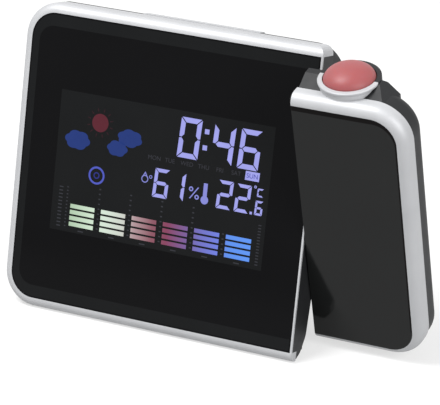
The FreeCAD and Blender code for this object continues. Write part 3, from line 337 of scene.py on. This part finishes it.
def letters(name, text, right, up, tall, finish):
    """Small generic letters laid on the display, as tall as this in mm."""
    curve = bpy.data.curves.new(name, "FONT")
    curve.body = text
    curve.size = tall / 1000 / CAPITAL_SHARE
    curve.extrude = LAYER_THICK / 2
    curve.align_x = "CENTER"
    source = bpy.data.objects.new(name + "_curve", curve)
    bpy.context.scene.collection.objects.link(source)
    bpy.context.view_layer.update()
    solid_text = bpy.data.meshes.new_from_object(source)
    bpy.data.objects.remove(source)
    mesh = bmesh.new()
    mesh.from_mesh(solid_text)
    bpy.data.meshes.remove(solid_text)
    bmesh.ops.remove_doubles(mesh, verts=mesh.verts[:], dist=0.000001)
    bmesh.ops.recalc_face_normals(mesh, faces=mesh.faces[:])
    bmesh.ops.rotate(mesh, verts=mesh.verts[:], matrix=Matrix.Rotation(math.pi / 2, 3, "X"))
    bmesh.ops.translate(mesh, verts=mesh.verts[:], vec=(right / 1000, -LETTER_PROUD / 1000, up / 1000))
    bmesh.ops.transform(mesh, matrix=FACE, verts=mesh.verts[:])
    return finish_piece(name, mesh, finish, "root")


unlit = lit_finish("unlit_print", "#3a3b40")
unlit_days = (("MON", 52.0), ("TUE", 58.0), ("WED", 64.6), ("THU", 71.0), ("FRI", 77.2), ("SAT", 83.4))
for text, right in unlit_days:
    letters("weekday_" + text.lower(), text, right, 56.7, 1.5, unlit)
letters("weekday_sun", "SUN", 89.5, 56.6, 1.6, lit_finish("backlit_indigo", "#4a4fae"))


# Forecast symbols: a red sun with rays over three blue clouds, and a comfort
# ring below. They are printed colour films behind clear openings.
def cloud(right, up, wide, tall, turn):
    """Outline of a lobed cloud."""
    outline = []
    for step in range(72):
        angle = 2 * math.pi * step / 72
        swell = 0.93 + 0.14 * abs(math.cos(3 * angle + turn))
        outline.append(
            (right + wide / 2 * swell * math.cos(angle), up + tall / 2 * swell * math.sin(angle))
        )
    return outline


SUN_RIGHT, SUN_UP = 29.9, 65.9
RAY_COUNT = 12
FIRST_RAY = 0.26
RAY_HALF_WIDE = 0.16
rays = []
for step in range(RAY_COUNT):
    angle = 2 * math.pi * step / RAY_COUNT + FIRST_RAY
    along = (math.cos(angle), math.sin(angle))
    side = (-along[1] * RAY_HALF_WIDE, along[0] * RAY_HALF_WIDE)
    rays.append([
        (SUN_RIGHT + along[0] * out + side[0] * off, SUN_UP + along[1] * out + side[1] * off)
        for out, off in ((4.0, -1), (5.2, -0.5), (5.2, 0.5), (4.0, 1))
    ])
clouds = [
    cloud(21.6, 58.6, 9.4, 6.4, 0.4),
    cloud(41.9, 62.4, 9.2, 5.9, 1.0),
    cloud(37.4, 58.2, 7.6, 5.3, 0.2),
]
lay_on_face("forecast_sun", [disc(SUN_RIGHT, SUN_UP, 3.2)], LIT_PROUD, lit_finish("red_film", "#602630"))
lay_on_face("forecast_rays", rays, LIT_PROUD, lit_finish("red_film_unlit", "#3c1e24"))
lay_on_face("forecast_clouds", clouds, LIT_PROUD, lit_finish("blue_film", "#263c80"))
COMFORT_RIGHT, COMFORT_UP = 30.3, 47.5
comfort_ring = ring(COMFORT_RIGHT, COMFORT_UP, 3.15, 2.45)
comfort_dot = ring(COMFORT_RIGHT, COMFORT_UP, 1.2, 0.75, 24)
lay_on_face("comfort_ring", comfort_ring, LIT_PROUD, lit_finish("blue_ring", "#5660c8"))
lay_on_face("comfort_dot", comfort_dot, LIT_PROUD, lit_finish("blue_dot", "#30368a"))


# Comfort bars: six stacks of four bars, clear openings behind one striped colour film.
# The film is printed in a run from green through pink and violet to blue, so its
# colour follows the place across the display, in metres from the clock's middle.
FILM_LEFT, FILM_RIGHT = -0.0535, 0.0178
film, tree, shader, where = new_finish(
    "striped_colour_film", {"Base Color": paint("#0c0c10"), "Roughness": 0.08, "Specular IOR Level": 0.06,
                            "Emission Strength": 1.0}
)
across = add_node(tree, "ShaderNodeSeparateXYZ", {}, {"Vector": where}).outputs["X"]
place = add_node(
    tree, "ShaderNodeMapRange", {"From Min": FILM_LEFT, "From Max": FILM_RIGHT}, {"Value": across}
).outputs["Result"]
ramp = add_node(tree, "ShaderNodeValToRGB", {}, {"Fac": place})
stops = (
    (0.0, "#b0c9ac"), (0.14, "#d4e8d2"), (0.2, "#d8e8d8"), (0.3, "#cfd3ca"), (0.36, "#b4989c"),
    (0.46, "#8f5a66"), (0.54, "#8a4560"), (0.65, "#7b609c"), (0.72, "#7372c2"), (0.82, "#7282e2"),
    (0.88, "#5e92ee"), (1.0, "#6298f6"),
)
elements = ramp.color_ramp.elements
elements[0].position, elements[0].color = stops[0][0], paint(stops[0][1])
elements[1].position, elements[1].color = stops[-1][0], paint(stops[-1][1])
for position, colour in stops[1:-1]:
    elements.new(position).color = paint(colour)
tree.links.new(ramp.outputs["Color"], shader.inputs["Emission Color"])
BAR_WIDE, BAR_TALL = 9.6, 1.45
BAR_PITCH = 2.12
STACK_LOW = 28.15
bars = []
for left in (21.15, 33.35, 45.5, 57.7, 69.8, 81.95):
    for row in range(4):
        low = STACK_LOW + row * BAR_PITCH
        right, high = left + BAR_WIDE, low + BAR_TALL
        bars.append([(left, low), (right, low), (right, high), (left, high)])
lay_on_face("comfort_bars", bars, LIT_PROUD, film)


# Scale marks: the fine unlit ticks of the display between, beside and under the stacks.
# They are the same grey as the unlit weekdays.
TICK_PITCH = 1.75
ticks = []
for right, high in ((32.3, 42.4), (44.5, 42.4), (56.7, 42.4), (68.8, 42.4), (80.8, 36.6)):
    steps = int((high - 28.4) / TICK_PITCH)
    ticks += [square(right, 28.9 + TICK_PITCH * step, 0.75, 0.45) for step in range(steps + 1)]
ticks += [square(17.0, 27.6 + 1.25 * step, 1.5, 0.4) for step in range(12)]
ticks += [square(19.6, 27.9 + 1.25 * step, 0.6, 0.4) for step in range(12)]
ticks += [square(94.2, 27.6 + 1.05 * step, 1.1, 0.35) for step in range(14)]
ticks += [square(26 + 12.15 * step, 26.8, 2.2, 0.4) for step in range(6)]
lay_on_face("scale_marks", ticks, LIT_PROUD, unlit)


# Projector window: a moulded dome of red translucent acrylic, 18 mm across.
# It is glued into the collar, half matt, and glows a little where light passes through it.
# It rides on the arm, whose face leans forward about the hinge.
ARM_HINGE = (-0.0743, -0.0039078, 0.042685)
HINGE_DEEP = 0.0082
ARM_LEAN = math.radians(13.0)
ARM = (
    Matrix.Translation(ARM_HINGE) @ Matrix.Rotation(ARM_LEAN, 4, "X")
    @ Matrix.Translation((0, -HINGE_DEEP, 0))
)


def lathe(profile, place):
    """Spin a profile of (radius, height) mm about its own axis, then set it in place."""
    mesh = bmesh.new()
    points = [mesh.verts.new((radius / 1000, 0, height / 1000)) for radius, height in profile]
    for first, second in zip(points, points[1:]):
        mesh.edges.new((first, second))
    bmesh.ops.spin(
        mesh, geom=mesh.verts[:] + mesh.edges[:], cent=(0, 0, 0), axis=(0, 0, 1), angle=2 * math.pi,
        steps=96, use_merge=True,
    )
    bmesh.ops.remove_doubles(mesh, verts=mesh.verts[:], dist=0.000004)
    bmesh.ops.recalc_face_normals(mesh, faces=mesh.faces[:])
    bmesh.ops.transform(mesh, matrix=place, verts=mesh.verts[:])
    for face in mesh.faces:
        face.smooth = True
    return mesh


WINDOW_FOOT = (0.1272, 0.0123, 0.059)
CROWN_RADIUS, FLANGE_RADIUS = 8.8, 9.0
CROWN_LOW, CROWN_RISE = 1.6, 5.07
window_profile = [
    (CROWN_RADIUS * math.sin(math.radians(a)), CROWN_LOW + CROWN_RISE * math.cos(math.radians(a)))
    for a in range(0, 91, 5)
]
window_profile += [(FLANGE_RADIUS, 1.2), (FLANGE_RADIUS, 0.2), (CROWN_RADIUS, 0.0), (0.0, 0.0)]
red_acrylic, tree, shader, where = new_finish(
    "red_translucent_acrylic",
    {"IOR": 1.49, "Roughness": 0.42, "Subsurface Weight": 0.25, "Subsurface Scale": 0.003,
     "Specular IOR Level": 0.3},
)
mottle(tree, shader, where, 110, "#944c4f", "#a15b5c")
dome = finish_piece(
    "projector_window_dome", lathe(window_profile, ARM @ Matrix.Translation(WINDOW_FOOT)),
    red_acrylic, "arm",
)
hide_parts("projector_window")


# Arm lens edge: a painted shadow of the silver rim, a brown-black band laid on the arm's lens under its top
# edge.
# The painted shadow thins out round the corner and down the right side.
# This dark colour is painted shadow from the rim, not a print on the lens.
arm_rim_painted_shadow, tree, shader, where = new_finish("painted_rim_shadow_brown_black", {"IOR": 1.49, "Specular IOR Level": 0.06})
mottle(tree, shader, where, 60, "#0b0909", "#110d0d")
roughen(tree, shader, where, 60, 0.05, 0.1)
CORNER_RIGHT, CORNER_UP, CORNER_RADIUS = 139.2, 45.8, 8.9
CORNER_STEPS = 12
TOP_WIDE, SIDE_WIDE = 1.7, 0.5
LENS_LEFT, LENS_LOW = 111.3, -28.0
lens_top = CORNER_UP + CORNER_RADIUS
lens_right = CORNER_RIGHT + CORNER_RADIUS
arm_outer = (
    [(LENS_LEFT, lens_top)] + corner_arc(CORNER_RIGHT, CORNER_UP, CORNER_RADIUS, 1, CORNER_STEPS + 1)
    + [(lens_right, LENS_LOW)]
)
arm_inner = [(LENS_LEFT, lens_top - TOP_WIDE)]
for step in range(CORNER_STEPS + 1):
    angle = math.pi / 2 * (1 - step / CORNER_STEPS)
    radius = CORNER_RADIUS - TOP_WIDE + (TOP_WIDE - SIDE_WIDE) * step / CORNER_STEPS
    arm_inner.append((CORNER_RIGHT + radius * math.cos(angle), CORNER_UP + radius * math.sin(angle)))
arm_inner.append((lens_right - SIDE_WIDE, LENS_LOW))
lay_on_face(
    "arm_lens_rim_shadow_band", band(arm_outer, arm_inner), PRINT_PROUD, arm_rim_painted_shadow, ARM, "arm"
)


# Rubber: the keys, the feet, the contact strip and the sheath of the projector's wires.
# Moulded silicone and PVC, matt with a faint bloom.
rubber, tree, shader, where = new_finish("moulded_rubber", {"IOR": 1.5, "Specular IOR Level": 0.3})
mottle(tree, shader, where, 200, "#1b1b1c", "#242425")
roughen(tree, shader, where, 300, 0.62, 0.78)
grain(tree, shader, where, 2600, 0.00001)
dress(
    rubber, "mode_key", "set_key", "up_key", "down_key", "alarm_key", "rear_feet", "contact_strip",
    "projector_lead",
)


# Screws, hinge shaft, spring washer and clip: zinc-plated steel.
# Rolled, turned or stamped and then plated, so they are bright but dull, and uneven
# over a millimetre or two.
zinc, tree, shader, where = new_finish("zinc_plated_steel", {"Metallic": 1.0})
mottle(tree, shader, where, 500, "#8f9194", "#a5a7aa")
roughen(tree, shader, where, 900, 0.28, 0.42)
dress(zinc, "case_screws", "arm_screws", "hinge_shaft", "spring_washer", "shaft_clip")


# Battery contacts and the power socket's pin: nickel-plated spring steel.
# Stamped and bent from polished strip, so they mirror more than the screws do.
nickel, tree, shader, where = new_finish("nickel_plate", {"Metallic": 1.0})
mottle(tree, shader, where, 300, "#b9b2a4", "#cbc5b8")
roughen(tree, shader, where, 700, 0.16, 0.26)
dress(nickel, "left_battery_contacts", "right_battery_contacts", "power_socket_pin")


# The three cells: steel cans in a shrunk-on plastic jacket, plain grey.
# The jacket is clear over a metallic print, so it has a soft coat of shine.
jacket, tree, shader, where = new_finish("cell_jacket", {"Metallic": 0.35, "Coat Weight": 0.3})
mottle(tree, shader, where, 80, "#4b4f55", "#565a60")
roughen(tree, shader, where, 300, 0.28, 0.36)
dress(jacket, "batteries")


# Circuit boards: glass-fibre laminate under a green solder mask.
# The mask is printed and cured, glossy and faintly wavy over the copper.
board, tree, shader, where = new_finish("green_solder_mask", {"IOR": 1.52, "Coat Weight": 0.4})
mottle(tree, shader, where, 900, "#0c4a2a", "#12633a")
roughen(tree, shader, where, 500, 0.3, 0.45)
dress(board, "main_board", "projector_board", "air_sensor")


# Black moulded parts inside: the chip, switches, power socket, barrel and carrier.
# Filled epoxy and nylon, pressed in plain tools, so they are flat and matt.
epoxy, tree, shader, where = new_finish("black_moulding_compound", {"IOR": 1.5, "Specular IOR Level": 0.35})
mottle(tree, shader, where, 400, "#161617", "#1d1d1f")
roughen(tree, shader, where, 500, 0.45, 0.6)
dress(
    epoxy, "controller_chip", "key_switches", "snooze_switch", "power_socket", "focus_barrel",
    "projector_carrier",
)


# White and natural mouldings: the display holder, lamps, wire socket and hinge bush.
# ABS, nylon and acetal straight from the mould, with a low even sheen.
white_moulding, tree, shader, where = new_finish("white_moulding", {"IOR": 1.48})
mottle(tree, shader, where, 150, "#d4d3cd", "#dedcd6")
roughen(tree, shader, where, 300, 0.4, 0.5)
dress(white_moulding, "lcd_holder", "backlight_lamps", "lead_socket", "hinge_bush")


# Light guide: a sheet of milky acrylic that spreads the lamps' light behind the display.
# Light wanders inside it, so it looks soft and a little deep.
milky, tree, shader, where = new_finish("milky_acrylic", {"IOR": 1.49, "Subsurface Weight": 0.2})
mottle(tree, shader, where, 60, "#dfe3e8", "#e8ebee")
roughen(tree, shader, where, 300, 0.25, 0.35)
dress(milky, "light_guide")


# Display glass and the projector's small picture glass: dark polarised glass.
# Two thin panes with film on both sides, smooth and nearly black when unlit.
polarised, tree, shader, where = new_finish("polarised_glass", {"IOR": 1.52})
mottle(tree, shader, where, 60, "#1a1b1d", "#202124")
roughen(tree, shader, where, 200, 0.06, 0.1)
dress(polarised, "lcd_panel", "projector_lcd")


# Focus lens and lamp: clear acrylic and epoxy, moulded against polished steel.
# Light goes nearly straight through them.
clear, tree, shader, where = new_finish(
    "clear_acrylic", {"IOR": 1.49, "Transmission Weight": 0.9, "Roughness": 0.04}
)
mottle(tree, shader, where, 60, "#e6eef0", "#f2f6f7")
dress(clear, "focus_lens", "projector_lamp")


# Sounder: a stamped brass disc that a ceramic layer on its back makes bend and ring.
# The brass is lacquered, so it stays yellow with a soft shine.
brass, tree, shader, where = new_finish("lacquered_brass", {"Metallic": 1.0})
mottle(tree, shader, where, 300, "#a98543", "#bf9a55")
roughen(tree, shader, where, 500, 0.25, 0.35)
dress(brass, "buzzer")


# Studio: a pale floor under plain soft light, and the photograph's viewpoint.
# The floor and the sky read as white, and the floor keeps the clock's shadow.
FLOOR_HALF_WIDE = 6.0
FLOOR_GLOW = 0.62
SKY_FILL = 0.42
floor_mesh = bmesh.new()
bmesh.ops.create_grid(floor_mesh, x_segments=1, y_segments=1, size=FLOOR_HALF_WIDE)
floor_data = bpy.data.meshes.new("floor")
floor_mesh.to_mesh(floor_data)
floor_mesh.free()
floor = bpy.data.objects.new("floor", floor_data)
bpy.context.scene.collection.objects.link(floor)


def background_ray(tree):
    """One for rays that show the background: straight from the camera, mirrored or through glass."""
    path = add_node(tree, "ShaderNodeLightPath", {})
    direct = add_node(
        tree, "ShaderNodeMath", {"operation": "MAXIMUM"},
        {0: path.outputs["Is Camera Ray"], 1: path.outputs["Is Transmission Ray"]},
    )
    shown = add_node(
        tree, "ShaderNodeMath", {"operation": "MAXIMUM"},
        {0: direct.outputs[0], 1: path.outputs["Is Glossy Ray"]},
    )
    return shown.outputs[0]


floor_paint = bpy.data.materials.new("floor_paint")
floor_paint.use_nodes = True
tree = floor_paint.node_tree
shader = tree.nodes["Principled BSDF"]
shader.inputs["Base Color"].default_value = paint("#a8a8a8")
shader.inputs["Roughness"].default_value = 0.9
shader.inputs["Specular IOR Level"].default_value = 0.0
shader.inputs["Emission Color"].default_value = (1, 1, 1, 1)
lift = add_node(tree, "ShaderNodeMath", {"operation": "MULTIPLY", 1: FLOOR_GLOW}, {0: background_ray(tree)})
tree.links.new(lift.outputs[0], shader.inputs["Emission Strength"])
floor_data.materials.append(floor_paint)

world = bpy.data.worlds.new("studio")
bpy.context.scene.world = world
world.use_nodes = True
tree = world.node_tree
strength = add_node(
    tree, "ShaderNodeMapRange", {"To Min": SKY_FILL, "To Max": 1.0}, {"Value": background_ray(tree)}
)
tree.links.new(strength.outputs["Result"], tree.nodes["Background"].inputs["Strength"])
tree.nodes["Background"].inputs["Color"].default_value = (1, 1, 1, 1)


def soft_light(name, spot, size, power):
    """A square soft box at a spot, aimed at the clock's middle."""
    lamp = bpy.data.lights.new(name, "AREA")
    lamp.size = size
    lamp.energy = power
    box = bpy.data.objects.new(name, lamp)
    box.location = spot
    box.rotation_euler = (Vector((0, 0, 0.05)) - Vector(spot)).to_track_quat("-Z", "Y").to_euler()
    bpy.context.scene.collection.objects.link(box)


soft_light("key_box", (-0.35, -0.4, 1.0), 0.5, 12.5)
soft_light("side_box", (0.8, -0.35, 0.45), 0.6, 5.5)

camera_turn = math.radians(27.35)
camera_rise = math.radians(22.02)
camera_distance = 0.9945
target = Vector((0.00935, -0.020863, 0.0540))
away = Vector((
    math.sin(camera_turn) * math.cos(camera_rise), -math.cos(camera_turn) * math.cos(camera_rise),
    math.sin(camera_rise),
))
camera_data = bpy.data.cameras.new("camera")
camera_data.sensor_width = 36.0
camera_data.lens = 243.1
camera_data.clip_start = 0.05
camera = bpy.data.objects.new("camera", camera_data)
camera.location = target + away * camera_distance
camera.rotation_euler = (-away).to_track_quat("-Z", "Y").to_euler()
bpy.context.scene.collection.objects.link(camera)
bpy.context.scene.camera = camera
bpy.context.scene.view_settings.view_transform = "Standard"
